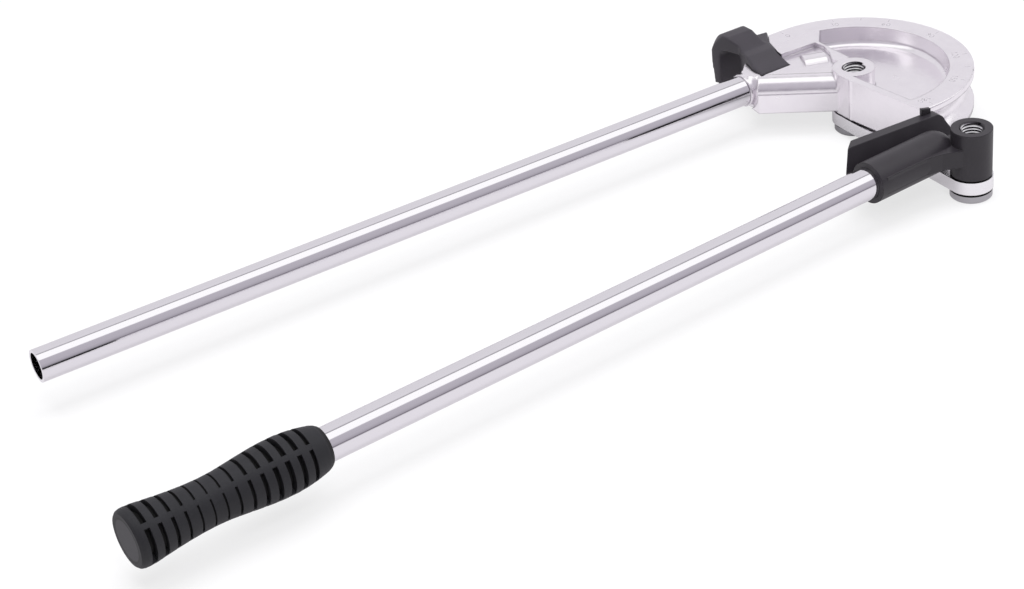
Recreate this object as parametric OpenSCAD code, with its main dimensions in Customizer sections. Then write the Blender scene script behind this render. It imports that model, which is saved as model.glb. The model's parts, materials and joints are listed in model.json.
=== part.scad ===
// Two-handle tube bender, shown closed at the end of a half-turn bend.
// Row frame: X runs along the form handle towards the former, Y across the tool, Z up.
// The origin is on the main pivot's axis, at the underside of the pivot bolt's head.

/* [Tube and former] */
// Outside diameter of the tube that the tool bends
tube_d = 22; // [20:0.5:24]
// Bend radius at the middle of the tube
bend_r = 87; // [84:1:96]
// Radial play of the tube in the grooves
groove_play = 0.15; // [0.1:0.05:0.4]
// How far the former's lips stop short of the tube's middle
lip_drop = 2; // [1:0.5:4]
// Thickness of the former over both lips
former_t = 31.6; // [30:0.2:36]
// Width of the flat dial ring
dial_w = 17.2; // [14:0.2:26]
// Radius at the foot of the dish's wall
dish_fillet = 5; // [2:0.5:8]
// Thickness of the web in the middle of the former
web_t = 5; // [4:0.5:10]
// Thickness of the wall that closes the former's end
end_wall = 6; // [4:0.5:9]
// Diameter of the former's pivot boss
boss_d = 30.2; // [29:0.2:34]

/* [Pivots] */
// Thread diameter of both pivot bolts
thread_d = 16; // [14:1:18]
// Diameter of the bolts' plain shoulder
shoulder_d = 18; // [17:0.5:20]
// Diameter of the bolts' round head
head_d = 29; // [26:0.5:32]
// Height of the bolts' head
head_h = 6.2; // [4:0.2:9]
// Thickness of a pivot washer
washer_t = 0.8; // [0.5:0.1:1.5]
// Outside diameter of a pivot washer
washer_d = 25; // [22:0.5:28]
// Wall of a pivot bush
bush_wall = 2; // [1.5:0.25:3]
// Length of thread that stays open above each bolt
open_thread = 13; // [8:1:18]

/* [Link] */
// Distance between the two pivots
link_l = 129.5; // [125:0.5:140]
// Thickness of the link plate
link_t = 9.2; // [7:0.2:12]
// Width of the link plate at the main pivot
link_w = 32; // [30:0.5:38]
// Width of the link plate at the knuckle
link_tip_w = 30; // [28:0.5:36]
// Angle of the link when the tool is closed, from the X axis
link_angle = -92.7; // [-95:0.1:-90]

/* [Handles] */
// Outside diameter of both handle tubes
handle_d = 22; // [20:0.5:25]
// Wall of the handle tubes
handle_wall = 2; // [1.5:0.25:3]
// Distance between the form handle's axis and the straight tube in the hook
handle_step = 36.4; // [35:0.2:38]
// Reach of the form handle, from the main pivot
form_reach = 615.4; // [400:5:700]
// Length of the spigot inside the form handle
form_spigot = 52; // [40:1:56]
// Distance of the lever's tube axis from the knuckle
lever_offset = 18; // [17:0.2:20]
// Reach of the lever, from the knuckle
lever_reach = 639; // [420:5:720]
// Wall of the cast sockets round the tubes
socket_wall = 3.5; // [3:0.25:5]
// Radial play of a tube in its socket
socket_play = 0.05; // [0.02:0.01:0.1]
// Diameter of the pins that hold the tubes
pin_d = 5; // [4:0.5:6]

/* [Grip] */
// Length of the grip
grip_l = 128; // [100:2:150]
// Largest diameter of the grip
grip_d = 36.4; // [33:0.2:40]
// Diameter of the grip at its waist
grip_waist = 28.8; // [27:0.2:31]
// Number of slots in one lane
slot_n = 14; // [8:1:16]
// Number of lanes of slots round the grip
lane_n = 4; // [3:1:6]
// Width of a slot where the grip is widest
slot_w = 3.6; // [2.5:0.1:5]
// Width of a slot at the waist
slot_w_waist = 1.1; // [0.8:0.1:3]
// Depth of a slot at the waist; the floors of all slots lie on one cylinder
slot_depth = 1.1; // [0.6:0.1:2]

/* [Shoe lever] */
// Length of the shoe's groove
shoe_l = 94.5; // [80:0.5:100]
// Height of the shoe
shoe_h = 30; // [28:0.5:34]
// How far the shoe's lips stop short of the tube's middle
shoe_drop = 1.2; // [0.5:0.1:3]
// Width of the shoe's flat lip
shoe_lip = 7.6; // [6:0.2:9]
// Angle between the shoe's groove and the lever's tube
shoe_skew = 6.85; // [5:0.05:8]
// How far the shoe closes past the tube line when no tube is in
over_close = 3.1; // [1:0.1:4]
// Diameter of the knuckle boss
knuckle_d = 28.4; // [27:0.2:32]
// Height of the knuckle boss
knuckle_h = 34.2; // [30:0.2:40]

/* [Hook] */
// Wall of the hook round the tube
hook_wall = 7; // [5:0.5:10]
// Length of the hook's arch along the tube
hook_l = 27; // [20:1:34]
// Thickness of the hook's foot plate
hook_foot = 8.5; // [7:0.5:11]
// Height of the hook's screw thread above the seat
hook_thread = 6.5; // [5:0.5:7.5]
// Diameter of the hook's screws
hook_screw_d = 6; // [5:1:8]
// Diameter of the hook's dowel pins
dowel_d = 5; // [4:0.5:6]

/* [Hidden] */
$fn = 96;
// How far a cut runs past the solid that it cuts
overrun = 1;
// Play along the axis on each side of a moving plate, and round a shoulder
axial_play = 0.1;
run_play = 0.05;
// Gap round the hook's foot, which sits in a pocket of the former's arm
cast_gap = 0.3;

// Heights in the stack of each pivot, from the underside of the bolt's head
z_link = head_h + washer_t + axial_play;
z_upper_washer = z_link + link_t + axial_play;
z_boss = z_upper_washer + washer_t;
former_lift = 0.4;
z_under = z_boss + former_lift;
z_tube = z_under + former_t / 2;
z_dial = z_under + former_t;

groove_r = tube_d / 2 + groove_play;
rim_r = bend_r - lip_drop;
rim_round = 1.6;
dish_r = rim_r - dial_w;
web_rise = 1;
boss_r = boss_d / 2;
shoulder_r = shoulder_d / 2;
thread_r = thread_d / 2;
thread_play = 0.3;
locked_play = 0.05;
washer_play = 0.1;
bush_r = shoulder_r + run_play + bush_wall;
chamfer = 1;

form_handle_y = bend_r - handle_step;

// Form handle: the tube's end is reamed and slides over a spigot that is cast on the former's arm
handle_r = handle_d / 2;
handle_bore_r = handle_r - handle_wall;
reamed_by = 0.25;
spigot_r = handle_bore_r + reamed_by - socket_play;
collar_x = -63;
collar_l = 3;
collar_r = handle_r + 1;
flare_r = 3;
socket_r = handle_r + socket_wall;
arm_x = collar_x + collar_l + flare_r;
pin_from_end = 20;

// Arm: a block from the flare to the boss, with a large round along its upper near edge
arm_rise = 12;
arm_drop = 14;
arm_near = 15.7;
arm_beyond = 13.9;
arm_top = z_tube + arm_rise;
arm_base = z_tube - arm_drop;
bead_r = 11;
bead_sink = 0.3;
arm_a = [collar_x + collar_l, form_handle_y - arm_near];
arm_b = [-9, -6.8];
arm_dir = (arm_b - arm_a) / norm(arm_b - arm_a);
arm_in = [-arm_dir.y, arm_dir.x];
arm_right = 8;
arm_far = form_handle_y + arm_beyond;
tail_left = -21.7;
tail_in = 6;
bump_r = 10.5;
bump_l = 17;
bump_at = [-7.7, 0.696 * form_handle_y];
bump_turn = -22;
bump_crown = 0.2;
dish_side = [[arm_right, 0.672 * form_handle_y], [9, 0.988 * form_handle_y], [0.324 * dish_r, 0.956 * dish_r]];
deck_left = -31;
deck_edge = [
    [deck_left, 1.045 * form_handle_y], [6.2, 1.008 * form_handle_y], [7, 0.83 * form_handle_y],
    [3.2, 0.6 * form_handle_y], [-2.1, 0.427 * form_handle_y], [-2.1, 0.927 * boss_r], [arm_right, 0.927 * boss_r]
];

// The end wall runs from the boss to the rim, beside the mark of the half turn
end_x_boss = -16;
end_x_rim = -10;
post_r = 3;
post_proud = 0.5;

// Hook: a foot in the arm's pocket, an arch over the tube and a leg on each side
hook_top = z_dial + 0.7;
hook_flush = arm_top + cast_gap;
hook_seat = hook_flush - hook_foot;
hook_out = bend_r + groove_r + hook_wall;
hook_leg = 17;
hook_leg_tip = 5;
hook_back = -22;
hook_front = hook_back - hook_l;
hook_facet = 8;
hook_facet_r = 20;
hook_rise = 22.5;
hook_block_top = z_tube + hook_rise;
hook_round = 8;
hook_crest = 3;
hook_slope = 14;
hook_foot_end = 4;
hook_inner_wall = 10;
passage_round = 6;
hook_near_step = 10.1;
hook_near = form_handle_y - hook_near_step;
hook_foot_left = -51.5;
hook_tip = -26;
socket_end = -34.5;
hook_steps = [2, 4, -7, 7.5, -13, -0.5];
hook_edge = [
    [-9, bend_r + hook_steps[0]], [hook_back, bend_r + hook_steps[1]], [hook_back, hook_out + overrun],
    [hook_front, hook_out + overrun], [-42, bend_r + hook_steps[2]], [hook_foot_left, form_handle_y],
    [hook_foot_left, hook_near], [hook_tip, hook_near], [-23.5, form_handle_y + hook_steps[3]],
    [-18.4, bend_r + hook_steps[4]], [-10, bend_r + hook_steps[5]]
];
hook_screw_grip = 9;
hook_screw_head_r = hook_screw_d * 0.85;
hook_screw_play = 0.2;
hook_fixings = [[-46, form_handle_y - 4.6], [-31.5, form_handle_y + 5.4]];
hook_dowels_at = [[-34, form_handle_y - 4.6], [-43, form_handle_y + 6.4]];
dowel_sink = 6;

knuckle = link_l * [cos(link_angle), sin(link_angle)];
lever_angle = shoe_skew - over_close;

// Lever frame: X along the lever's tube, origin on the knuckle axis
knuckle_r = knuckle_d / 2;
mouth_x = -79;
dome_x = -4;
tube_in = 62;
web_half = 3.5;
side_web_top = 7;
side_web_low = 5.5;
side_web = [[-74, 18], [-74, 4.3], [-38, 4.3], [-26, 1.5], [-13, -5.5], [0, 0], [0, 18]];

// Shoe frame: X along the shoe's groove, origin on the knuckle axis
shoe_y = link_l * cos(90 + link_angle) - bend_r;
shoe_left = -86;
shoe_right = shoe_left + shoe_l;
shoe_end_cut = 16;
shoe_end_deep = 15;
shoe_slant = 5.5;
shoe_slant_z = 10;
shoe_nose_round = 6;
shoe_round = 12;
shoe_back = 3.25;
shoe_lip_y = shoe_y - shoe_drop;

pointer_w = 7.5;
pointer_t = 2.4;
pointer_x = -7.7;
pointer_high = 5.2;
pointer_low = 3.6;
pointer_peg_d = 1.8;
pointer_peg_l = 3;

// Grip: radius along its length, as shares of the step from the waist to the largest radius
grip_shares = [
    [0, -0.5], [0.012, -0.2], [0.03, 0.06], [0.06, 0.3], [0.1, 0.58], [0.15, 0.8], [0.2, 0.92], [0.25, 0.92],
    [0.31, 0.84], [0.38, 0.62], [0.46, 0.33], [0.53, 0.09], [0.6, 0], [0.67, 0.06], [0.74, 0.22], [0.81, 0.45],
    [0.87, 0.7], [0.92, 0.92], [0.95, 1], [0.975, 0.97], [0.99, 0.83], [1, 0.5]
];
grip_end_wall = 5;
slot_from_end = 7.4;
slot_from_front = 14.4;
slot_step = (grip_l - slot_from_end - slot_from_front) / (slot_n - 1);
slot_floor_r = grip_waist / 2 - slot_depth;
rib_w = 3.6;
rib_turn = -43;
grip_shell = 0.05;

// Outline grown by a gap; its points run anticlockwise
function turn(v) = [v.y, -v.x] / norm(v);
function grown(p, gap) = [
    for (i = [0 : len(p) - 1])
        let (
            a = turn(p[i] - p[(i + len(p) - 1) % len(p)]),
            b = turn(p[(i + 1) % len(p)] - p[i])
        )
        p[i] + gap * (a + b) / (1 + a * b)
];

// Places a child in the lever's frame, and in the shoe's frame
module in_lever() { translate([knuckle.x, knuckle.y, 0]) rotate(lever_angle) children(); }
module in_shoe() { translate([knuckle.x, knuckle.y, 0]) rotate(-over_close) children(); }

// A cylinder along X from its left end
module bar_x(r, l) { rotate([0, 90, 0]) cylinder(h = l, r = r); }

module ring(h, r_out, r_in) {
    difference() {
        cylinder(h = h, r = r_out);
        translate([0, 0, -overrun]) cylinder(h = h + 2 * overrun, r = r_in);
    }
}

// A tapped hole with a lead-in chamfer, cut from its top: open above, and close on the bolt below
module tapped(depth) {
    translate([0, 0, -depth]) cylinder(h = depth, r = thread_r - thread_play + locked_play);
    translate([0, 0, -open_thread]) cylinder(h = open_thread + overrun, r = thread_r);
    translate([0, 0, -chamfer]) cylinder(h = chamfer, r1 = thread_r, r2 = thread_r + chamfer);
}

// Half section of the former: a slab whose outer edge is rounded and holds the tube's groove
module rim_section(inner) {
    difference() {
        union() {
            translate([inner, 0]) square([rim_r - rim_round - inner, former_t]);
            translate([inner, rim_round]) square([rim_r - inner, former_t - 2 * rim_round]);
            for (z = [rim_round, former_t - rim_round]) translate([rim_r - rim_round, z]) circle(rim_round);
        }
        translate([bend_r, former_t / 2]) circle(groove_r);
    }
}

// Cut for the dish of the upper face: a straight wall and a round foot where it meets the floor
module dish(floor_rise) {
    floor_z = former_t / 2 + floor_rise;
    rotate_extrude() {
        translate([0, floor_z + dish_fillet])
            square([dish_r, former_t + overrun - floor_z - dish_fillet]);
        translate([0, floor_z]) square([dish_r - dish_fillet, former_t - floor_z]);
        translate([dish_r - dish_fillet, floor_z + dish_fillet]) circle(dish_fillet);
    }
}

// The round part of the former: the rim, the end wall beside the last mark, and a dish on each face
module bent_part() {
    translate([0, 0, z_under]) difference() {
        intersection() {
            rotate_extrude() rim_section(0);
            linear_extrude(former_t) polygon([
                [end_x_boss, 0], [end_x_boss, -boss_r], [end_x_rim, -bend_r],
                [bend_r, -bend_r], [bend_r, bend_r], [0, bend_r], [0, 0]
            ]);
        }
        intersection() {
            translate([0, 0, -overrun]) linear_extrude(former_t + 2 * overrun) polygon([
                [end_x_boss + end_wall, 0], [end_x_boss + end_wall, -boss_r], [end_x_rim + end_wall, -bend_r],
                [bend_r, -bend_r], [bend_r, bend_r], [-dish_r, bend_r], [-dish_r, 0]
            ]);
            union() {
                dish(web_rise);
                translate([0, 0, former_t]) mirror([0, 0, 1]) dish(web_t - web_rise);
            }
        }
    }
    // Round post at the corner of the end wall
    translate([end_x_boss + post_r - post_proud, -boss_r, z_under]) cylinder(h = former_t, r = post_r);
}

module arm_plan(inset) {
    polygon([
        arm_a + inset * arm_in, arm_b + inset * arm_in, [arm_right, -arm_b.y],
        dish_side[0], dish_side[1], dish_side[2], [0, dish_r + tail_in], [tail_left, dish_r + tail_in], [tail_left, arm_far],
        [hook_front, arm_far], [arm_x, form_handle_y + tail_in]
    ]);
}

module arm() {
    translate([0, 0, arm_base]) linear_extrude(arm_top - bead_r - bead_sink - arm_base) arm_plan(0);
    translate([0, 0, arm_base]) linear_extrude(arm_top - arm_base) arm_plan(bead_r);
    bead_start = arm_a + (bead_r + bead_sink) * arm_in;
    translate([bead_start.x, bead_start.y, arm_top - bead_r - bead_sink])
        rotate(atan2(arm_dir.y, arm_dir.x)) bar_x(bead_r, norm(arm_b - arm_a));
    translate([bump_at.x, bump_at.y, z_dial - bump_crown - bump_r]) rotate(bump_turn)
        translate([-bump_l / 2, 0, 0]) bar_x(bump_r, bump_l);
    // The rib round the pocket, and the flat that carries on from the dial to the hook
    translate([0, 0, arm_top]) linear_extrude(z_dial - arm_top) polygon(concat(
        deck_edge, dish_side, [[0, dish_r + tail_in], [hook_edge[0].x, dish_r + tail_in], [deck_left, dish_r]]
    ));
    // The straight groove beside the arm
    translate([tail_left, 0, z_under]) rotate([90, 0, 90]) linear_extrude(-tail_left) rim_section(dish_r);
}

// Cuts the arm's root down to the collar, with a hollow flare between the two
module flare_cut() {
    translate([0, form_handle_y, z_tube]) rotate([0, 90, 0]) rotate_extrude() {
        translate([collar_r, collar_x - overrun]) square([flare_r, collar_l + overrun]);
        intersection() {
            translate([collar_r + flare_r, collar_x + collar_l]) circle(flare_r);
            translate([0, collar_x]) square([collar_r + flare_r, collar_l + flare_r]);
        }
    }
}

// Root of the form handle: the socket's round body and the spigot, cut flat where the arm is
module handle_root() {
    translate([0, form_handle_y, z_tube]) {
        intersection() {
            translate([collar_x, 0, 0]) bar_x(socket_r, socket_end - collar_x);
            translate([collar_x - overrun, -form_handle_y, arm_base - z_tube])
                cube([form_handle_y, form_handle_y + tail_in, arm_top - arm_base]);
        }
        translate([collar_x, 0, 0]) bar_x(collar_r - bead_sink, hook_front - collar_x);
        translate([collar_x - form_spigot, 0, 0]) bar_x(spigot_r, form_spigot + collar_l);
    }
}

module former() {
    color("Gainsboro") difference() {
        union() {
            bent_part();
            translate([0, 0, z_boss]) cylinder(h = z_dial - z_boss, r = boss_r);
            difference() {
                union() {
                    arm();
                    handle_root();
                }
                flare_cut();
            }
        }
        translate([0, 0, z_dial]) tapped(z_dial - z_boss + overrun);
        // Pocket for the hook's foot, and the space in front of the straight groove
        translate([0, 0, hook_seat]) linear_extrude(z_dial) polygon(grown(hook_edge, cast_gap));
        for (p = hook_fixings) translate([p.x, p.y, 0]) {
            cylinder(h = z_dial, r = hook_screw_d / 2 + hook_screw_play);
            cylinder(h = hook_seat - hook_screw_grip, r = hook_screw_head_r + hook_screw_play);
        }
        for (p = hook_dowels_at) translate([p.x, p.y, hook_seat - dowel_sink])
            cylinder(h = z_dial, r = dowel_d / 2);
        translate([collar_x - pin_from_end, form_handle_y, 0]) cylinder(h = z_tube, r = pin_d / 2);
    }
}

module form_handle_tube() {
    color("Silver") difference() {
        translate([-form_reach, form_handle_y, z_tube])
            rotate([0, 90, 0]) ring(form_reach + collar_x - axial_play, handle_r, handle_bore_r);
        translate([collar_x - form_spigot - axial_play, form_handle_y, z_tube])
            bar_x(spigot_r + socket_play, form_spigot + overrun);
        translate([collar_x - pin_from_end, form_handle_y, 0]) cylinder(h = z_tube, r = pin_d / 2);
    }
}

// Both handle pins go in from below, flush with the tube or the socket
module form_handle_pin() {
    color("DimGray") translate([collar_x - pin_from_end, form_handle_y, z_tube - handle_r])
        cylinder(h = handle_r, r = pin_d / 2);
}

module hook() {
    color("#2E2E30") difference() {
        union() {
            // Foot plate, which rises from the arm's deck to the height of the dial
            intersection() {
                linear_extrude(z_dial * 2) polygon(hook_edge);
                translate([hook_foot_left, 0, 0]) rotate([90, 0, 90]) linear_extrude(-hook_foot_left) polygon([
                    [hook_near, hook_seat], [bend_r + hook_foot_end, hook_seat], [bend_r + hook_foot_end, hook_top],
                    [arm_far, hook_top], [hook_near, hook_flush]
                ]);
            }
            // Arch and legs, cut to the plan's front line
            intersection() {
                linear_extrude(z_dial * 2) polygon(hook_edge);
                union() {
                    translate([hook_front, 0, 0]) rotate([90, 0, 90]) linear_extrude(hook_l) {
                        polygon([
                            [bend_r - hook_slope, hook_seat], [hook_out, hook_seat],
                            [hook_out, hook_block_top - hook_round],
                            [hook_out - hook_round, hook_block_top], [bend_r + hook_crest, hook_block_top],
                            [bend_r - hook_slope, hook_top]
                        ]);
                        translate([bend_r, z_tube]) square([hook_out - bend_r, hook_seat - z_tube]);
                        translate([hook_out - hook_round, hook_block_top - hook_round]) circle(hook_round);
                    }
                    translate([hook_front, bend_r - groove_r - hook_inner_wall, arm_base])
                        cube([hook_l, hook_inner_wall + groove_r, hook_top - arm_base]);
                    translate([hook_front, 0, z_tube]) rotate([90, 0, 90]) linear_extrude(hook_l) polygon([
                        [bend_r, 0], [bend_r + groove_r, -hook_leg],
                        [bend_r + groove_r + hook_leg_tip, -hook_leg], [hook_out, 0]
                    ]);
                }
                // Chamfered front edge
                translate([hook_front, bend_r, z_tube]) union() {
                    rotate([0, 90, 0])
                        cylinder(h = hook_facet, r1 = hook_facet_r, r2 = hook_facet_r + hook_facet);
                    translate([hook_facet, -bend_r, -z_tube]) cube([hook_l, 2 * bend_r, 2 * z_dial]);
                    translate([0, -bend_r, -z_tube]) cube([hook_l, 2 * bend_r, z_tube]);
                    translate([0, -bend_r, -z_tube])
                        cube([hook_l, bend_r - groove_r, 2 * z_dial]);
                }
            }
        }
        // Passage of the tube, open below: a square with round corners, which the tube meets above and beside
        translate([-bend_r, bend_r, z_tube]) rotate([90, 0, 90]) linear_extrude(bend_r + overrun) union() {
            for (side = [-1, 1]) translate([side * (groove_r - passage_round), groove_r - passage_round])
                circle(passage_round);
            translate([passage_round - groove_r, -overrun])
                square([2 * (groove_r - passage_round), groove_r + overrun]);
            translate([-groove_r, -overrun]) square([2 * groove_r, groove_r - passage_round + overrun]);
        }
        translate([-bend_r, bend_r - groove_r, 0]) cube([bend_r, 2 * groove_r, z_tube]);
        for (p = hook_fixings) translate([p.x, p.y, 0])
            cylinder(h = hook_seat + hook_thread, r = hook_screw_d / 2);
        for (p = hook_dowels_at) translate([p.x, p.y, 0])
            cylinder(h = hook_seat + dowel_sink, r = dowel_d / 2);
    }
}

module hook_screws() {
    color("DimGray") for (p = hook_fixings) translate([p.x, p.y, hook_seat - hook_screw_grip]) {
        cylinder(h = hook_screw_grip + hook_thread, r = hook_screw_d / 2);
        translate([0, 0, -hook_screw_d]) cylinder(h = hook_screw_d, r = hook_screw_head_r);
    }
}

module hook_dowels() {
    color("Gray") for (p = hook_dowels_at) translate([p.x, p.y, hook_seat - dowel_sink])
        cylinder(h = 2 * dowel_sink, r = dowel_d / 2);
}

// One design of shoulder bolt serves both pivots; z_end is the top of its thread
module shoulder_bolt(z_end) {
    rotate_extrude() polygon([
        [0, 0], [head_d / 2 - chamfer, 0], [head_d / 2, chamfer], [head_d / 2, head_h],
        [shoulder_r, head_h], [shoulder_r, z_boss], [thread_r - thread_play, z_boss],
        [thread_r - thread_play, z_end - chamfer], [thread_r - thread_play - chamfer, z_end], [0, z_end]
    ]);
}

module lower_washer() { translate([0, 0, head_h]) ring(washer_t, washer_d / 2, shoulder_r + washer_play); }
module upper_washer() { translate([0, 0, z_upper_washer]) ring(washer_t, washer_d / 2, shoulder_r + washer_play); }
module bush() { translate([0, 0, z_link]) ring(link_t, bush_r, shoulder_r + run_play); }

module pivot_bolt() { color("DarkGray") shoulder_bolt(z_dial - open_thread); }
module pivot_washer_lower() { color("Gray") lower_washer(); }
module pivot_washer_upper() { color("Gray") upper_washer(); }
module pivot_bush() { color("Peru") bush(); }
module knuckle_bush() { color("Peru") translate([knuckle.x, knuckle.y, 0]) bush(); }
module knuckle_bolt() {
    color("DarkGray") translate([knuckle.x, knuckle.y, 0]) shoulder_bolt(z_boss + knuckle_h - open_thread);
}
module knuckle_washer_lower() { color("Gray") translate([knuckle.x, knuckle.y, 0]) lower_washer(); }
module knuckle_washer_upper() { color("Gray") translate([knuckle.x, knuckle.y, 0]) upper_washer(); }

module link_plate() {
    big = link_w / 2;
    tip = link_tip_w / 2;
    lean = asin((big - tip) / link_l);
    color("Silver") translate([0, 0, z_link]) rotate(link_angle) difference() {
        union() {
            cylinder(h = link_t, r = big);
            translate([link_l, 0, 0]) cylinder(h = link_t, r = tip);
            linear_extrude(link_t) polygon([
                big * [sin(lean), cos(lean)], big * [sin(lean), -cos(lean)],
                [link_l, 0] + tip * [sin(lean), -cos(lean)], [link_l, 0] + tip * [sin(lean), cos(lean)]
            ]);
        }
        for (x = [0, link_l]) translate([x, 0, -overrun]) cylinder(h = link_t + 2 * overrun, r = bush_r);
    }
}

// Section of the shoe across its groove, and its side view with two round corners and a slanted end
module shoe_section() {
    difference() {
        polygon([
            [shoe_lip_y - shoe_lip, shoe_h / 2], [shoe_y - groove_r - shoe_back, 0],
            [shoe_lip_y - shoe_lip, -shoe_h / 2], [shoe_lip_y, -shoe_h / 2], [shoe_lip_y, shoe_h / 2]
        ]);
        translate([shoe_y, 0]) circle(groove_r);
    }
}
module shoe_side() {
    half = shoe_h / 2;
    polygon([
        [shoe_left, half - shoe_round], [shoe_left, shoe_round - half], [shoe_left + shoe_round, -half],
        [shoe_right - shoe_slant - shoe_nose_round, -half], [shoe_right - shoe_slant, -shoe_slant_z],
        [shoe_right, 0], [shoe_right - shoe_slant, shoe_slant_z],
        [shoe_right - shoe_slant - shoe_nose_round, half], [shoe_left + shoe_round, half]
    ]);
    for (side = [-1, 1]) {
        translate([shoe_left + shoe_round, side * (half - shoe_round)]) circle(shoe_round);
        translate([shoe_right - shoe_slant - shoe_nose_round, side * (half - shoe_nose_round)])
            circle(shoe_nose_round);
    }
}

module shoe_lever() {
    color("#2E2E30") difference() {
        union() {
            in_shoe() translate([0, 0, z_tube]) intersection() {
                translate([shoe_left - overrun, 0, 0]) rotate([90, 0, 90])
                    linear_extrude(shoe_l + 2 * overrun) shoe_section();
                translate([0, shoe_y, 0]) rotate([90, 0, 0]) linear_extrude(shoe_y) shoe_side();
                // The lips stop short of the back at the left end
                translate([0, 0, -shoe_h]) linear_extrude(2 * shoe_h) polygon([
                    [shoe_left - overrun, 0], [shoe_right + overrun, 0], [shoe_right + overrun, shoe_y],
                    [shoe_left + shoe_end_cut, shoe_y], [shoe_left + shoe_end_cut, shoe_lip_y],
                    [shoe_left, shoe_lip_y - shoe_end_deep], [shoe_left - overrun, shoe_lip_y - shoe_end_deep]
                ]);
            }
            in_lever() {
                translate([mouth_x, lever_offset, z_tube]) bar_x(socket_r, dome_x - socket_r - mouth_x);
                translate([dome_x - socket_r, lever_offset, z_tube]) sphere(socket_r);
                translate([mouth_x + shoe_round, lever_offset, z_tube - web_half])
                    cube([dome_x - socket_r - mouth_x - shoe_round, shoe_y - groove_r - lever_offset, 2 * web_half]);
                translate([0, 0, z_tube - side_web_low])
                    linear_extrude(side_web_low + side_web_top) polygon(side_web);
                translate([0, 0, z_boss]) cylinder(h = knuckle_h, r = knuckle_r);
            }
        }
        in_lever() {
            translate([mouth_x - overrun, lever_offset, z_tube]) bar_x(handle_r + socket_play, tube_in + overrun);
            translate([0, 0, z_boss + knuckle_h]) tapped(knuckle_h + overrun);
            translate([mouth_x + pin_from_end, lever_offset, 0]) cylinder(h = z_tube, r = pin_d / 2);
        }
        in_shoe() translate([pointer_x, shoe_lip_y - pointer_t / 2, z_tube + shoe_h / 2 - pointer_peg_l])
            cylinder(h = shoe_h, r = pointer_peg_d / 2);
    }
}

// Upright pointer that rides round the dial, with a peg into the shoe
module index_pointer() {
    color("#2E2E30") in_shoe() translate([pointer_x, shoe_lip_y, z_tube + shoe_h / 2]) {
        rotate([90, 0, 0]) linear_extrude(pointer_t) polygon([
            [-pointer_w / 2, 0], [pointer_w / 2, 0], [pointer_w / 2, pointer_low],
            [-pointer_w / 2, pointer_high]
        ]);
        translate([0, -pointer_t / 2, -pointer_peg_l]) cylinder(h = pointer_peg_l, r = pointer_peg_d / 2);
    }
}

module lever_tube() {
    color("Silver") in_lever() difference() {
        translate([-lever_reach + grip_end_wall, lever_offset, z_tube]) rotate([0, 90, 0])
            ring(lever_reach - grip_end_wall + mouth_x + tube_in, handle_r, handle_bore_r);
        translate([mouth_x + pin_from_end, lever_offset, 0]) cylinder(h = z_tube, r = pin_d / 2);
    }
}

module lever_pin() {
    color("DimGray") in_lever() translate([mouth_x + pin_from_end, lever_offset, z_tube - socket_r])
        cylinder(h = socket_r - handle_bore_r + pin_d, r = pin_d / 2);
}

function grip_r(share) = grip_waist / 2 + (grip_d - grip_waist) / 2 * lookup(share, grip_shares);

// Outline of the grip at the share of its length, measured from its front end
module grip_outline(cut) {
    polygon(concat(
        [[0, 0]], [for (s = grip_shares) [grip_r(s[0]) - cut, grip_l * s[0]]], [[0, grip_l]]
    ));
}

module grip() {
    color("#303032") in_lever() translate([-lever_reach + grip_l, lever_offset, z_tube]) rotate([0, -90, 0])
    difference() {
        union() {
            rotate_extrude() difference() {
                grip_outline(0);
                for (i = [0 : slot_n - 1]) {
                    at = slot_from_front + i * slot_step;
                    w = slot_w_waist + (slot_w - slot_w_waist) * lookup(at / grip_l, grip_shares);
                    translate([slot_floor_r, at - w / 2]) square([grip_d, w]);
                }
            }
            intersection() {
                rotate_extrude() grip_outline(grip_shell);
                for (i = [0 : lane_n - 1]) rotate(rib_turn + i * 360 / lane_n)
                    translate([handle_r, -rib_w / 2, slot_w]) cube([grip_d, rib_w, grip_l - 2 * slot_w]);
            }
        }
        translate([0, 0, -overrun]) cylinder(h = grip_l - grip_end_wall + overrun, r = handle_r);
    }
}

former();
form_handle_tube();
form_handle_pin();
hook();
hook_screws();
hook_dowels();
pivot_bolt();
pivot_washer_lower();
pivot_washer_upper();
link_plate();
pivot_bush();
knuckle_bush();
knuckle_bolt();
knuckle_washer_lower();
knuckle_washer_upper();
shoe_lever();
index_pointer();
lever_tube();
lever_pin();
grip();
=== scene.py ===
# %% [markdown]
# A two-handle tube bender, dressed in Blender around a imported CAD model. The CAD pieces carry the
# shapes and sizes, and this lesson gives them their metals, rubber, threads and dial marks. Each step
# says what the real piece is, how it could be made in Blender, and why it is made this way.

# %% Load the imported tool
import json
import math

import bmesh
import bpy
from mathutils import Matrix, Vector


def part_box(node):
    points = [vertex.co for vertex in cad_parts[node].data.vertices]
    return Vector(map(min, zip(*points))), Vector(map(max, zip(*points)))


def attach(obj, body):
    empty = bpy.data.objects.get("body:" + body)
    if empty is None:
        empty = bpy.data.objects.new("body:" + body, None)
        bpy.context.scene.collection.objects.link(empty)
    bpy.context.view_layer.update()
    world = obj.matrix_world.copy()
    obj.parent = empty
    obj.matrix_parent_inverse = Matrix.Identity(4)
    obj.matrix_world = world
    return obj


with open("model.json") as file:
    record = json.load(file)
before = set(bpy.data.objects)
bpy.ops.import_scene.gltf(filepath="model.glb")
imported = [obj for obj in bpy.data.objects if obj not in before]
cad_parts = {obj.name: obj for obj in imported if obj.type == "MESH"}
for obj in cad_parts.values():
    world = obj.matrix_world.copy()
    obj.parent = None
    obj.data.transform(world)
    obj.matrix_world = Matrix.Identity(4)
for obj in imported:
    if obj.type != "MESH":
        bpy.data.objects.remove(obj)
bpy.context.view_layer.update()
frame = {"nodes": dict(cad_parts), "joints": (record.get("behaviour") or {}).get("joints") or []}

nodes = frame["nodes"]
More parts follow.
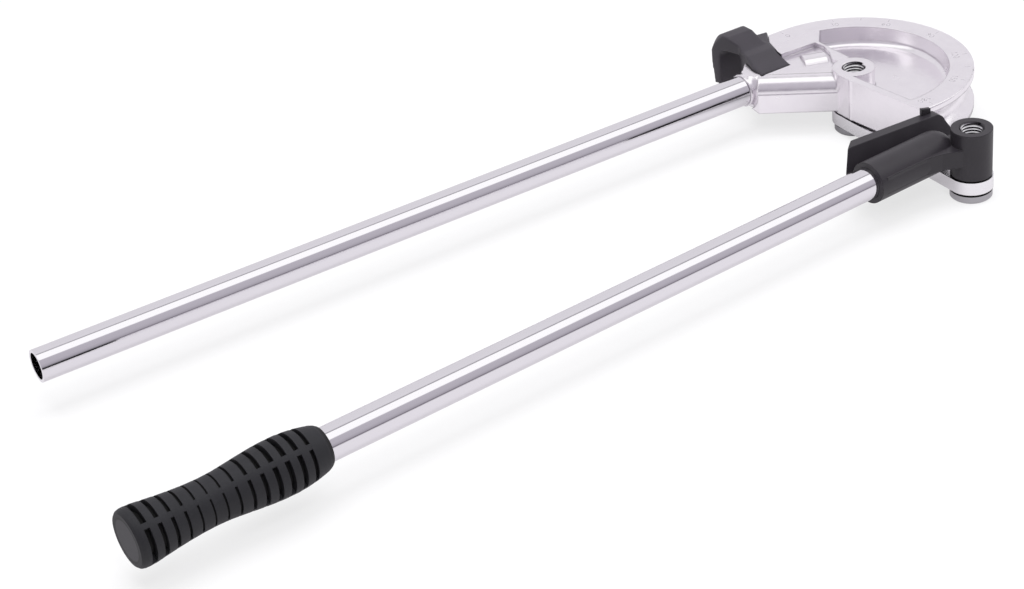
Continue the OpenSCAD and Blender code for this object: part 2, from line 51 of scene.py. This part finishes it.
print("pieces loaded:", len(nodes))

# %% [markdown]
# Blender works in metres and a tool is drawn in millimetres, so one number turns the one into the other.
# The two pivots are read from the joints of the model, so that marks and threads sit on their axes.

# %% Millimetres and pivots
mm = 0.001
pivots = {joint["name"]: Vector(joint["pos_m"]) for joint in frame["joints"]}
main_pivot, knuckle = pivots["link_swing"], pivots["lever_swing"]
dial_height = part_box("former")[1].z
print("main pivot", main_pivot[:], "knuckle", knuckle[:], "dial height", round(dial_height / mm, 2), "mm")

# %% [markdown]
# The camera stands where the photographer stood: in front of the handles' ends, above the tool, with a
# slightly tilted frame. A camera can be aimed with a Track To constraint, but a tilt is easier with a
# matrix: its columns are the picture's right, its up and the way back from the picture.

# %% Camera
CAMERA_AT = Vector((-933.7, -1125.2, 760.5)) * mm
TURN, PITCH, ROLL = (math.radians(angle) for angle in (29.36656, 31.149, 6.385))
LENS_PX, IMAGE_PX, SENSOR_MM = 2227.33, 1024, 36

level_right = Vector((math.cos(TURN), -math.sin(TURN), 0))
looking = Vector((math.sin(TURN) * math.cos(PITCH), math.cos(TURN) * math.cos(PITCH), -math.sin(PITCH)))
level_up = level_right.cross(looking)
right = math.cos(ROLL) * level_right - math.sin(ROLL) * level_up
up = right.cross(looking)

camera_data = bpy.data.cameras.new("camera")
camera_data.sensor_width = SENSOR_MM
camera_data.lens = LENS_PX * SENSOR_MM / IMAGE_PX
camera_data.clip_start, camera_data.clip_end = 0.05, 30
camera = bpy.data.objects.new("camera", camera_data)
camera.matrix_world = Matrix.Translation(CAMERA_AT) @ Matrix((right, up, -looking)).transposed().to_4x4()
bpy.context.scene.collection.objects.link(camera)
bpy.context.scene.camera = camera
bpy.context.scene.view_settings.view_transform = "Standard"
print("lens", round(camera_data.lens, 2), "mm")

# %% [markdown]
# Colours are picked from swatches as sRGB hex values, and Blender's shaders count in linear light, so
# one function turns the first into the second. A second small function adds a shader node with its
# settings and links: a value that is a socket is linked, and anything else is typed into the socket.

# %% Colours and nodes
def linear(hex_code):
    parts = [int(hex_code[i:i + 2], 16) / 255 for i in (1, 3, 5)]
    return [p / 12.92 if p <= 0.04045 else ((p + 0.055) / 1.055) ** 2.4 for p in parts] + [1]


def add(tree, kind, inputs=None, **settings):
    node = tree.nodes.new("ShaderNode" + kind)
    for name, value in settings.items():
        setattr(node, name, value)
    for name, value in (inputs or {}).items():
        if isinstance(value, bpy.types.NodeSocket):
            tree.links.new(value, node.inputs[name])
        else:
            node.inputs[name].default_value = value
    return node


def new_material(name):
    material = bpy.data.materials.new(name)
    material.use_nodes = True
    tree = material.node_tree
    tree.nodes.clear()
    surface = add(tree, "BsdfPrincipled")
    add(tree, "OutputMaterial", {"Surface": surface.outputs["BSDF"]})
    where = add(tree, "TexCoord")
    return material, tree, surface.inputs, where.outputs


print("mid grey in linear light:", round(linear("#808080")[0], 3))

# %% [markdown]
# The stage is a white table that runs up into the backdrop, as in a catalogue picture. A plain white
# floor that is lit like the tool is a little grey, so for the camera, and in mirror images, part of its
# light is its own. The rest is real light on a matt surface, and so the soft shadow stays. Under the
# tool's head the table's own light in mirror images is turned down: painted shade in the reflections,
# which stands for the tool's shade there. Without it, upright aluminium would melt into the white table.

# %% White table
OWN_SHARE = 0.7
# Painted shade in reflections: around this point the table's own light is dimmed for mirror rays
MIRROR_SHADE_AT, MIRROR_SHADE_INNER, MIRROR_SHADE_OUTER = (30 * mm, -35 * mm, 0), 40 * mm, 120 * mm
GLOW_IN_MIRROR_SHADE, GLOW_OUTSIDE_MIRROR_SHADE = 0.25, 0.8
FLOOR_HALF = 6.0

# Dry white laminate: matt, with hardly any mirror image of its own
floor_material, tree, matt, where = new_material("white_laminate_table")
matt["Base Color"].default_value = linear("#E3E2E5")
matt["Roughness"].default_value = 0.9
matt["Specular IOR Level"].default_value = 0.1
paths = add(tree, "LightPath").outputs
seen = add(tree, "Math", {0: paths["Is Camera Ray"], 1: paths["Is Glossy Ray"]}, operation="MAXIMUM")
share = add(tree, "Math", {0: seen.outputs[0], 1: OWN_SHARE}, operation="MULTIPLY")
# Painted shade: the table's glow for mirror rays rises from dim near the tool's head to full further out
from_mirror_shade = add(tree, "VectorMath", {0: where["Object"], 1: MIRROR_SHADE_AT}, operation="DISTANCE").outputs["Value"]
painted_mirror_shade = add(tree, "MapRange", {"Value": from_mirror_shade, "From Min": MIRROR_SHADE_INNER, "From Max": MIRROR_SHADE_OUTER,
                                  "To Min": GLOW_IN_MIRROR_SHADE, "To Max": GLOW_OUTSIDE_MIRROR_SHADE}, interpolation_type="SMOOTHSTEP")
glow = add(tree, "Math", {0: paths["Is Camera Ray"], 1: painted_mirror_shade.outputs[0]}, operation="MAXIMUM")
tint = add(tree, "MixRGB", {0: paths["Is Glossy Ray"], 1: linear("#FFFFFF"), 2: linear("#FAF6FB")})
own_light = add(tree, "Emission", {"Color": tint.outputs[0], "Strength": glow.outputs[0]})
lit = tree.nodes["Principled BSDF"].outputs["BSDF"]
table = add(tree, "MixShader", {0: share.outputs[0], 1: lit, 2: own_light.outputs[0]})
tree.links.new(table.outputs[0], tree.nodes["Material Output"].inputs["Surface"])

floor_mesh = bpy.data.meshes.new("table")
floor_mesh.from_pydata([(x, y, 0) for x, y in ((-1, -1), (1, -1), (1, 1), (-1, 1))], [], [(0, 1, 2, 3)])
floor_mesh.transform(Matrix.Scale(FLOOR_HALF, 4))
floor = bpy.data.objects.new("table", floor_mesh)
floor.data.materials.append(floor_material)
bpy.context.scene.collection.objects.link(floor)
print("table:", 2 * FLOOR_HALF, "m wide, own light", OWN_SHARE)

# %% [markdown]
# Bright metal shows little of its own colour: it shows the room. The photographer's room has a wide
# soft lamp overhead, pale walls, and a darker side where the camera stands. The world's shader paints
# that room for mirror rays by direction alone: an angle runs from the back wall over the lamp to the
# camera's side, and a colour ramp gives each angle its grey. A picture of a real studio would do the
# same, but the ramp's few stops show which wall makes which stripe on the tubes. For matt surfaces the
# world is plain white, and stronger from above.

# %% Room light
SIDEWAYS = 0.35
MIRROR_LIGHT, LIGHT_BELOW, LIGHT_ABOVE = 1.22, 0.15, 0.84
world = bpy.data.worlds.new("studio")
bpy.context.scene.world = world
world.use_nodes = True
tree = world.node_tree
tree.nodes.clear()
direction = add(tree, "TexCoord").outputs["Generated"]
parts = add(tree, "SeparateXYZ", {0: direction}).outputs
away = add(tree, "Math", {0: parts["X"], 1: SIDEWAYS, 2: parts["Y"]}, operation="MULTIPLY_ADD")
angle = add(tree, "Math", {0: parts["Z"], 1: away.outputs[0]}, operation="ARCTAN2")
share = add(tree, "MapRange", {"Value": angle.outputs[0], "From Min": 0.0, "From Max": math.pi})

# Round the room from the back wall, over the lamp, to the camera's side: degrees and grey levels
ROOM = [(0, "#CBC9CD"), (8, "#D5D3D7"), (64, "#D8D6DA"), (71, "#7D7A80"), (75, "#FFFFFF"),
        (113, "#FFFFFF"), (118, "#B6B2BA"), (150, "#B2AEB6"), (167, "#A29EA6"), (175, "#68646B"),
        (180, "#ABA7AF")]
ramp = add(tree, "ValToRGB", {"Fac": share.outputs[0]})
stops = ramp.color_ramp.elements
while len(stops) < len(ROOM):
    stops.new(0.5)
for stop, (degrees, grey) in zip(stops, ROOM):
    stop.position, stop.color = degrees / 180, linear(grey)
room = add(tree, "Background", {"Color": ramp.outputs["Color"], "Strength": MIRROR_LIGHT})
from_above = add(tree, "MapRange", {"Value": parts["Z"], "From Min": -0.1, "From Max": 1.0,
                                    "To Min": LIGHT_BELOW, "To Max": LIGHT_ABOVE})
even = add(tree, "Background", {"Color": linear("#FFFFFF"), "Strength": from_above.outputs[0]})
backdrop = add(tree, "Background", {"Color": linear("#FFFFFF"), "Strength": 1.0})
paths = add(tree, "LightPath").outputs
mirrored = add(tree, "MixShader", {0: paths["Is Glossy Ray"], 1: even.outputs[0], 2: room.outputs[0]})
shown = add(tree, "Math", {0: paths["Is Camera Ray"], 1: paths["Is Transmission Ray"]}, operation="MAXIMUM")
whole = add(tree, "MixShader", {0: shown.outputs[0], 1: mirrored.outputs[0], 2: backdrop.outputs[0]})
add(tree, "OutputWorld", {"Surface": whole.outputs[0]})
print("room:", len(stops), "greys from back wall to camera side")

# %% [markdown]
# Three soft boxes give the black castings and the rubber their form: a wide one overhead for the upper
# faces and the floor's shadow, a small one at the right for the far sides of the bosses, and one at the
# front for what faces the camera. Mirror rays don't see them, because the room above already holds the
# lamp that the metals show, and a second one would burn white patches into them.

# %% Soft lamps
def soft_lamp(name, place_mm, aim_mm, size_mm, watts):
    data = bpy.data.lights.new(name, "AREA")
    data.shape, data.size, data.size_y, data.energy = "RECTANGLE", size_mm[0] * mm, size_mm[1] * mm, watts
    lamp = bpy.data.objects.new(name, data)
    place, aim = Vector(place_mm) * mm, Vector(aim_mm) * mm
    lamp.matrix_world = Matrix.Translation(place) @ (place - aim).to_track_quat("Z", "Y").to_matrix().to_4x4()
    lamp.visible_glossy = False
    bpy.context.scene.collection.objects.link(lamp)
    return lamp


soft_lamp("overhead_softbox", (-250, 100, 1500), (-250, 0, 0), (1600, 1200), 22)
soft_lamp("right_softbox", (900, -500, 700), (0, -50, 40), (500, 500), 3)
soft_lamp("front_softbox", (-500, -900, 1200), (-50, 0, 40), (500, 500), 7)

# %% [markdown]
# The former is cast aluminium that was blasted and lightly polished, so it shines softly, with the
# skin of the casting still in it. The dial ring and the top of the boss are turned flat on a lathe.
# Both finishes share one material: the turned part is picked out by its height and its distance from
# the pivot's axis, and its rings run round that axis. Two noises make the cast part, a wide one for the
# flow of the metal and a fine one for the blasting. Inner corners are painted greyer by an ambient
# occlusion node, which is painted shade, and a bevel node rounds the edges in the light without a change to
# the CAD mesh.

# %% Cast aluminium
DIAL_INNER, BOSS = 67.8 * mm, 15.1 * mm
FLOW, BLASTING, RING_PITCH = 9 * mm, 0.9 * mm, 1.1 * mm
WAVES_PER_SCALE = 0.314
aluminium, tree, surface, where = new_material("cast_aluminium_blasted_and_polished")
surface["Metallic"].default_value = 1.0
flat = add(tree, "VectorMath", {0: where["Object"], 1: (1, 1, 0)}, operation="MULTIPLY")
radius = add(tree, "VectorMath", {0: flat.outputs[0]}, operation="LENGTH").outputs["Value"]
height = add(tree, "SeparateXYZ", {0: where["Object"]}).outputs["Z"]
on_top = add(tree, "Math", {0: height, 1: dial_height - 0.1 * mm}, operation="GREATER_THAN")
on_dial = add(tree, "Math", {0: radius, 1: DIAL_INNER}, operation="GREATER_THAN")
on_boss = add(tree, "Math", {0: radius, 1: BOSS}, operation="LESS_THAN")
either = add(tree, "Math", {0: on_dial.outputs[0], 1: on_boss.outputs[0]}, operation="ADD")
turned_part = add(tree, "Math", {0: either.outputs[0], 1: on_top.outputs[0]}, operation="MULTIPLY").outputs[0]

skin = add(tree, "TexNoise", {"Vector": where["Object"], "Scale": 1 / FLOW, "Detail": 3.0, "Roughness": 0.6})
grain = add(tree, "TexNoise", {"Vector": where["Object"], "Scale": 1 / BLASTING, "Detail": 2.0})
lathe = add(tree, "TexWave", {"Vector": where["Object"], "Scale": WAVES_PER_SCALE / RING_PITCH,
                              "Distortion": 0.4, "Detail": 1.0}, wave_type="RINGS", rings_direction="Z")
fine = add(tree, "Mix", {"Factor": turned_part, "A": grain.outputs["Fac"], "B": lathe.outputs["Fac"]})
clean = add(tree, "MixRGB", {0: skin.outputs["Fac"], 1: linear("#EFEBF0"), 2: linear("#FCF9FC")})
# Painted shade: ambient occlusion greys the colour in inner corners
painted_corner_shade = add(tree, "AmbientOcclusion", {"Distance": 1.8 * mm}, samples=4)
tone = add(tree, "MixRGB", {0: painted_corner_shade.outputs["AO"], 1: linear("#9C979F"), 2: clean.outputs[0]})
cast_gloss = add(tree, "MapRange", {"Value": skin.outputs["Fac"], "To Min": 0.16, "To Max": 0.32})
gloss = add(tree, "MapRange", {"Value": turned_part, "To Min": cast_gloss.outputs[0], "To Max": 0.3})
tree.links.new(tone.outputs[0], surface["Base Color"])
tree.links.new(gloss.outputs[0], surface["Roughness"])
edge = add(tree, "Bevel", {"Radius": 1.4 * mm}, samples=8)
bump = add(tree, "Bump", {"Height": fine.outputs[0], "Strength": 0.25, "Distance": 0.05 * mm,
                          "Normal": edge.outputs[0]})
soft = add(tree, "Bump", {"Height": skin.outputs["Fac"], "Strength": 0.3, "Distance": 0.4 * mm,
                          "Normal": bump.outputs[0]})
tree.links.new(soft.outputs[0], surface["Normal"])
print("aluminium:", len(tree.nodes), "nodes, dial turned outside", round(DIAL_INNER / mm, 1), "mm")

# %% [markdown]
# The black castings, the shoe lever and the hook, are iron under a satin black coat. A coat like that
# dries with a fine orange peel, here a noise of about a millimetre, and with dull and shinier clouds, and
# it catches the light where an edge is rounded off. The hook's edges are much rounder than the lever's,
# and its coat is a paler grey, so one function makes both coats.

# %% Black coated castings
def coated_iron(name, dark, pale, edge_mm):
    material, tree, surface, where = new_material(name)
    skin = add(tree, "TexNoise", {"Vector": where["Object"], "Scale": 1 / (1.2 * mm), "Detail": 2.0})
    cloud = add(tree, "TexNoise", {"Vector": where["Object"], "Scale": 1 / (14 * mm), "Detail": 3.0})
    tone = add(tree, "MixRGB", {0: cloud.outputs["Fac"], 1: linear(dark), 2: linear(pale)})
    gloss = add(tree, "MapRange", {"Value": cloud.outputs["Fac"], "To Min": 0.34, "To Max": 0.5})
    edge = add(tree, "Bevel", {"Radius": edge_mm * mm}, samples=8)
    bump = add(tree, "Bump", {"Height": skin.outputs["Fac"], "Strength": 0.2, "Distance": 0.06 * mm,
                              "Normal": edge.outputs[0]})
    tree.links.new(tone.outputs[0], surface["Base Color"])
    tree.links.new(gloss.outputs[0], surface["Roughness"])
    tree.links.new(bump.outputs[0], surface["Normal"])
    surface["Specular IOR Level"].default_value = 0.45
    return material


black = coated_iron("cast_iron_satin_black_coat", "#201D22", "#2B282D", 0.9)
# The hook's coat is given a paler grey than the lever's
paler_black = coated_iron("cast_iron_paler_black_coat", "#27242A", "#343037", 3.2)
print("castings:", black.name, paler_black.name)

# %% [markdown]
# Both handle tubes are drawn steel with bright chrome plating. Chrome is a mirror, and what tells it
# from glass is the faint drag of the polishing belt along the tube. The other small metal pieces are
# made the same way with another colour, another gloss and another lay: a noise that is stretched along
# the tool's path changes the gloss and the bump together, as real scratches do.

# %% Chrome, zinc, steel and bronze
def plated(name, hex_code, rough, lay_mm, turn=0.0):
    material, tree, surface, where = new_material(name)
    surface["Base Color"].default_value = linear(hex_code)
    surface["Metallic"].default_value = 1.0
    lay = add(tree, "Mapping", {"Vector": where["Object"], "Rotation": (0, 0, -turn),
                                "Scale": tuple(1 / (size * mm) for size in lay_mm)})
    belt = add(tree, "TexNoise", {"Vector": lay.outputs[0], "Scale": 1.0, "Detail": 3.0})
    gloss = add(tree, "MapRange", {"Value": belt.outputs["Fac"], "To Min": rough[0], "To Max": rough[1]})
    edge = add(tree, "Bevel", {"Radius": 0.4 * mm}, samples=6)
    bump = add(tree, "Bump", {"Height": belt.outputs["Fac"], "Strength": 0.12, "Distance": 0.02 * mm,
                              "Normal": edge.outputs[0]})
    tree.links.new(gloss.outputs[0], surface["Roughness"])
    tree.links.new(bump.outputs[0], surface["Normal"])
    return material


# The lever stands at a small angle in the pose of the picture, and its belt lines turn with it
LEVER_TURN = math.radians(3.75)
# Belt-polished chrome: long fine lines along the tube, 60 mm by half a millimetre
chrome = plated("chrome_plated_drawn_tube", "#E8E6EA", (0.04, 0.11), (60, 0.5, 0.5))
lever_chrome = plated("chrome_plated_lever_tube", "#E8E6EA", (0.04, 0.11), (60, 0.5, 0.5), LEVER_TURN)
# Barrel-plated zinc on sheared plate: soft clouds of 4 mm with no direction
zinc = plated("zinc_plated_link_plate", "#F6F5F7", (0.22, 0.3), (4, 4, 4))
# Turned bolts: short marks that run round the head, a quarter of a millimetre apart in height
turned = plated("turned_zinc_plated_bolt", "#B4B4B5", (0.26, 0.42), (1.5, 1.5, 0.25))
# Stamped washers with dark oil on them: an even, dull grain
# Stamped washers, painted near black as painted shade in the gap under the link plate: an even, dull grain
washer = plated("steel_washer_painted_dark_as_gap_shade", "#1C1B1D", (0.35, 0.5), (1, 1, 1))
# Painted shade: the rim of the bolt's head is painted dark up to the washer's height, where the gap under the
# plate is in shade
tree = turned.node_tree
HEAD_TOP, HEAD_WASHER = 5.3 * mm, 7.2 * mm
height = add(tree, "SeparateXYZ", {0: add(tree, "TexCoord").outputs["Object"]}).outputs["Z"]
over = add(tree, "Math", {0: height, 1: HEAD_TOP}, operation="GREATER_THAN")
under = add(tree, "Math", {0: height, 1: HEAD_WASHER}, operation="LESS_THAN")
painted_gap_shade_band = add(tree, "Math", {0: over.outputs[0], 1: under.outputs[0]}, operation="MULTIPLY")
tone = add(tree, "MixRGB", {0: painted_gap_shade_band.outputs[0], 1: linear("#B5B4B7"), 2: linear("#161517")})
tree.links.new(tone.outputs[0], tree.nodes["Principled BSDF"].inputs["Base Color"])
# Ground pins carry fine upright lines, and sintered bronze a grain as fine as its powder
pin_steel = plated("ground_steel_pin", "#A7A6A9", (0.2, 0.35), (0.4, 0.4, 2))
bronze = plated("sintered_bronze_bush", "#A77F52", (0.35, 0.5), (0.5, 0.5, 0.5))
print("metals:", [metal.name for metal in (chrome, lever_chrome, zinc, turned, washer, pin_steel, bronze)])

# %% [markdown]
# The grip is moulded black rubber. Rubber is matt and slightly grey from talc and touch. The floors of
# its slots are painted near black as painted shade, and the closed end face is painted a lighter grey.
# What tells these three apart is the distance from the grip's axis, so the coordinates are first moved
# and turned until that axis is their X axis.

# %% Moulded rubber
LEVER_OFFSET, TUBE_HEIGHT = 18 * mm, 33.4 * mm
SLOT_FLOOR, WAIST, FACING_END = 13.4 * mm, 14.3 * mm, -0.9
rubber, tree, surface, where = new_material("moulded_black_rubber")
axis_point = knuckle + Vector((-math.sin(LEVER_TURN), math.cos(LEVER_TURN), 0)) * LEVER_OFFSET
axis_point.z = TUBE_HEIGHT
along = add(tree, "Mapping", {"Vector": where["Object"], "Rotation": (0, 0, LEVER_TURN),
                              "Location": tuple(axis_point)}, vector_type="TEXTURE")
flat = add(tree, "VectorMath", {0: along.outputs[0], 1: (0, 1, 1)}, operation="MULTIPLY")
from_axis = add(tree, "VectorMath", {0: flat.outputs[0]}, operation="LENGTH")
# Painted shade: slot floors near the grip's axis are painted near black
painted_slot_shade = add(tree, "MapRange", {"Value": from_axis.outputs["Value"], "From Min": SLOT_FLOOR, "From Max": WAIST})
skin = add(tree, "TexNoise", {"Vector": where["Object"], "Scale": 1 / (0.8 * mm), "Detail": 2.0})
cloud = add(tree, "TexNoise", {"Vector": where["Object"], "Scale": 1 / (18 * mm), "Detail": 3.0})
talc = add(tree, "MixRGB", {0: cloud.outputs["Fac"], 1: linear("#19191C"), 2: linear("#232327")})
outside = add(tree, "MixRGB", {0: painted_slot_shade.outputs[0], 1: linear("#030303"), 2: talc.outputs[0]})
# The closed end face, found by its normal and by a radius inside the slot floors, is painted a lighter grey
facing_out = add(tree, "SeparateXYZ", {0: where["Normal"]}).outputs["X"]
end_face = add(tree, "Math", {0: facing_out, 1: FACING_END}, operation="LESS_THAN")
inside = add(tree, "MapRange", {"Value": from_axis.outputs["Value"], "From Min": SLOT_FLOOR - 0.1 * mm,
                                "From Max": SLOT_FLOOR - 1.2 * mm})
lighter_end_face = add(tree, "Math", {0: end_face.outputs[0], 1: inside.outputs[0]}, operation="MULTIPLY")
tone = add(tree, "MixRGB", {0: lighter_end_face.outputs[0], 1: outside.outputs[0], 2: linear("#38373B")})
edge = add(tree, "Bevel", {"Radius": 0.6 * mm}, samples=6)
bump = add(tree, "Bump", {"Height": skin.outputs["Fac"], "Strength": 0.3, "Distance": 0.05 * mm,
                          "Normal": edge.outputs[0]})
tree.links.new(tone.outputs[0], surface["Base Color"])
surface["Roughness"].default_value = 0.58
surface["Specular IOR Level"].default_value = 0.35
tree.links.new(bump.outputs[0], surface["Normal"])
print("rubber: slot floors below", round(SLOT_FLOOR / mm, 1), "mm from the grip's axis are dark")

# %% [markdown]
# Each finish goes on the pieces that are made of it. The CAD model names its pieces, so one table from
# finish to names dresses the whole tool, and a new piece needs only its name in the table.

# %% Finishes go on the CAD pieces
FINISH = {
    aluminium: ["former"], black: ["shoe_lever", "index_pointer"], paler_black: ["hook"],
    chrome: ["form_handle_tube"], lever_chrome: ["lever_tube"], zinc: ["link_plate"],
    turned: ["pivot_bolt", "knuckle_bolt", "hook_screws"],
    washer: ["pivot_washer_lower", "pivot_washer_upper", "knuckle_washer_lower", "knuckle_washer_upper"],
    pin_steel: ["form_handle_pin", "lever_pin", "hook_dowels"], bronze: ["pivot_bush", "knuckle_bush"],
    rubber: ["grip"],
}
for material, names in FINISH.items():
    for name in names:
        nodes[name].data.materials.clear()
        nodes[name].data.materials.append(material)
print("finished:", sum(len(names) for names in FINISH.values()), "of", len(nodes))

# %% [markdown]
# The hook is a sand casting, and sand gives no sharp edge. Four modifiers wear its CAD shape down: the
# loose faces are joined, the solid is rebuilt from small cells, smoothing rounds the cells' steps and
# every edge with them, and the last one drops the points that flat faces don't need.

# %% Cast rounding of the hook
worn_down = nodes["hook"].modifiers
worn_down.new("join_faces", "WELD").merge_threshold = 0.001 * mm
cells = worn_down.new("small_cells", "REMESH")
cells.mode, cells.voxel_size, cells.use_smooth_shade = "VOXEL", 0.5 * mm, True
rounding = worn_down.new("rounding", "SMOOTH")
rounding.factor, rounding.iterations = 0.5, 9
worn_down.new("fewer_points", "DECIMATE").ratio = 0.15
print("hook modifiers:", [step.name for step in worn_down])

# %% [markdown]
# Both bosses carry a tapped thread that is open above. In the CAD it is a plain hole, and here the
# ridge of the thread is wound into it: a triangle that climbs one pitch a turn. A Screw modifier on a
# profile could do this too, but points from a formula give each turn's exact place.

# %% Thread in a hole
def thread_ridge(name, axis, top, body, material, turns_down=13 * mm, pitch=2.2 * mm):
    outer, inner, steps = 8.0 * mm, 6.9 * mm, 64
    lead_in, fade_turns = 0.6 * mm, 0.35
    turns = (turns_down - pitch) / pitch
    points, faces = [], []
    count = int(turns * steps)
    for i in range(count + 1):
        turn = 2 * math.pi * i / steps
        height = top - lead_in - pitch * i / steps
        fade = min(1, i / (steps * fade_turns), (count - i) / (steps * fade_turns))
        crest = outer - (outer - inner) * fade
        for radius, share in ((outer, 0.49), (crest, 0.05), (crest, -0.05), (outer, -0.49)):
            across, along = radius * math.cos(turn), radius * math.sin(turn)
            points.append((axis.x + across, axis.y + along, height + pitch * share))
    for i in range(count):
        a, b = 4 * i, 4 * i + 4
        faces += [(a + k, b + k, b + k + 1, a + k + 1) for k in range(3)]
        faces.append((a + 3, b + 3, b, a))
    faces += [(3, 2, 1, 0), tuple(4 * count + k for k in range(4))]
    mesh = bpy.data.meshes.new(name)
    mesh.from_pydata(points, [], faces)
    mesh.validate()
    mesh.materials.append(material)
    piece = bpy.data.objects.new(name, mesh)
    bpy.context.scene.collection.objects.link(piece)
    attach(piece, body)
    return piece


print("a ridge sinks from 8.0 to 6.9 mm and fades out at both ends")

# %% [markdown]
# Freshly cut metal is bright at the crest of the thread, and its root is painted dark: painted shade in the
# thread's groove. Crest and root differ only in their distance from the boss's axis, so each boss gets a
# material of its own, and with it the ridge that is wound at the right place and rides on the right piece.

# %% Both threads
def cut_thread(name, axis):
    material, tree, surface, where = new_material(name)
    surface["Metallic"].default_value = 1.0
    off = add(tree, "VectorMath", {0: where["Object"], 1: tuple(axis)}, operation="SUBTRACT")
    flat = add(tree, "VectorMath", {0: off.outputs[0], 1: (1, 1, 0)}, operation="MULTIPLY")
    radius = add(tree, "VectorMath", {0: flat.outputs[0]}, operation="LENGTH").outputs["Value"]
    # Painted shade: the colour darkens from crest to root of the thread
    painted_root_shade = add(tree, "MapRange", {"Value": radius, "From Min": 7.25 * mm, "From Max": 7.7 * mm})
    swirl = add(tree, "TexNoise", {"Vector": where["Object"], "Scale": 1 / (0.8 * mm)})
    tone = add(tree, "MixRGB", {0: painted_root_shade.outputs[0], 1: linear("#DAD9DC"), 2: linear("#5E5B5F")})
    gloss = add(tree, "MapRange", {"Value": swirl.outputs["Fac"], "To Min": 0.2, "To Max": 0.32})
    tree.links.new(tone.outputs[0], surface["Base Color"])
    tree.links.new(gloss.outputs[0], surface["Roughness"])
    return material


knuckle_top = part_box("shoe_lever")[1].z
main_thread = thread_ridge("main_thread_ridge", main_pivot, dial_height, "form",
                           cut_thread("cut_thread_in_aluminium", main_pivot))
knuckle_thread = thread_ridge("knuckle_thread_ridge", knuckle, knuckle_top, "lever",
                              cut_thread("cut_thread_in_iron", knuckle))
print("thread ridges:", len(main_thread.data.vertices), "points each")

# %% [markdown]
# The dial is numbered in steps of thirty degrees, with a short line at each number and at 45 and 135.
# Text objects would need a font; figures that are struck with a stamp are simple strokes, so each one is
# a bent line in a small grid, and every stretch of it becomes a thin bar that is sunk into the face.

# %% Dial figures
FIGURES = {
    "0": [(0.3, 1), (0.06, 0.78), (0, 0.5), (0.06, 0.22), (0.3, 0), (0.54, 0.22), (0.6, 0.5), (0.54, 0.78),
          (0.3, 1)],
    "1": [(0.1, 0.76), (0.32, 1), (0.32, 0)],
    "2": [(0.04, 0.8), (0.3, 1), (0.56, 0.76), (0.04, 0), (0.6, 0)],
    "3": [(0.04, 0.9), (0.3, 1), (0.56, 0.78), (0.28, 0.54), (0.6, 0.28), (0.3, 0), (0, 0.12)],
    "5": [(0.54, 1), (0.08, 1), (0.04, 0.56), (0.36, 0.62), (0.6, 0.34), (0.34, 0), (0, 0.1)],
    "6": [(0.5, 0.96), (0.16, 0.7), (0.02, 0.3), (0.3, 0), (0.58, 0.28), (0.32, 0.54), (0.05, 0.36)],
    "8": [(0.3, 0.54), (0.06, 0.77), (0.3, 1), (0.54, 0.77), (0.3, 0.54), (0, 0.27), (0.3, 0), (0.6, 0.27),
          (0.3, 0.54)],
    "9": [(0.1, 0.04), (0.44, 0.3), (0.58, 0.7), (0.3, 1), (0.02, 0.72), (0.28, 0.46), (0.55, 0.64)],
}
DIAL_START = 91
HIGH, MIDDLE, STEP, BESIDE = 4.4 * mm, 73.6 * mm, 3.5 * mm, 0.44 * mm
TICK_FROM, TICK_TO, STROKE, PROUD, SUNK = 78.5 * mm, 82 * mm, 0.55 * mm, 0.02 * mm, 0.2 * mm


def bar(mesh, start, end, width):
    along = (end - start).normalized()
    side = Vector((-along.y, along.x, 0)) * width / 2
    low, high = Vector((0, 0, dial_height - SUNK)), Vector((0, 0, dial_height + PROUD))
    foot = [start - side, end - side, end + side, start + side]
    corners = [mesh.verts.new(point + level) for level in (low, high) for point in foot]
    for face in ((3, 2, 1, 0), (4, 5, 6, 7), (0, 1, 5, 4), (1, 2, 6, 5), (2, 3, 7, 6), (3, 0, 4, 7)):
        mesh.faces.new([corners[k] for k in face])


print("figures drawn:", "".join(FIGURES))

# %% [markdown]
# The marks go round the dial, each with its own pair of directions: outward along the radius, and onward
# the way the numbers rise. A stamp set is struck one mark at a time, and so is this one. The grey in the
# marks is dirt and paint, which lies unevenly and doesn't shine as the turned face beside it does.

# %% Dial marks
mesh = bmesh.new()
for degrees in (0, 30, 45, 60, 90, 120, 135, 150, 180):
    angle = math.radians(DIAL_START - degrees)
    outward = Vector((math.cos(angle), math.sin(angle), 0))
    onward = Vector((outward.y, -outward.x, 0))
    bar(mesh, outward * TICK_FROM, outward * TICK_TO, STROKE)
    if degrees % 30:
        continue
    text = str(degrees)
    for place, figure in enumerate(text):
        left = (place - len(text) / 2) * STEP + BESIDE
        line = [outward * (MIDDLE + (y - 0.5) * HIGH) + onward * (left + x * HIGH)
                for x, y in FIGURES[figure]]
        for start, end in zip(line, line[1:]):
            bar(mesh, start, end, STROKE)
marks_mesh = bpy.data.meshes.new("dial_marks")
mesh.to_mesh(marks_mesh)
mesh.free()
marks = bpy.data.objects.new("dial_marks", marks_mesh)
bpy.context.scene.collection.objects.link(marks)
ink, tree, surface, where = new_material("struck_mark_grey_fill")
spots = add(tree, "TexNoise", {"Vector": where["Object"], "Scale": 1 / (0.6 * mm), "Detail": 2.0})
tone = add(tree, "MixRGB", {0: spots.outputs["Fac"], 1: linear("#8E8A90"), 2: linear("#BDB9BF")})
tree.links.new(tone.outputs[0], surface["Base Color"])
surface["Roughness"].default_value = 0.6
marks_mesh.materials.append(ink)
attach(marks, "form")
print("dial marks:", len(marks_mesh.polygons), "faces")
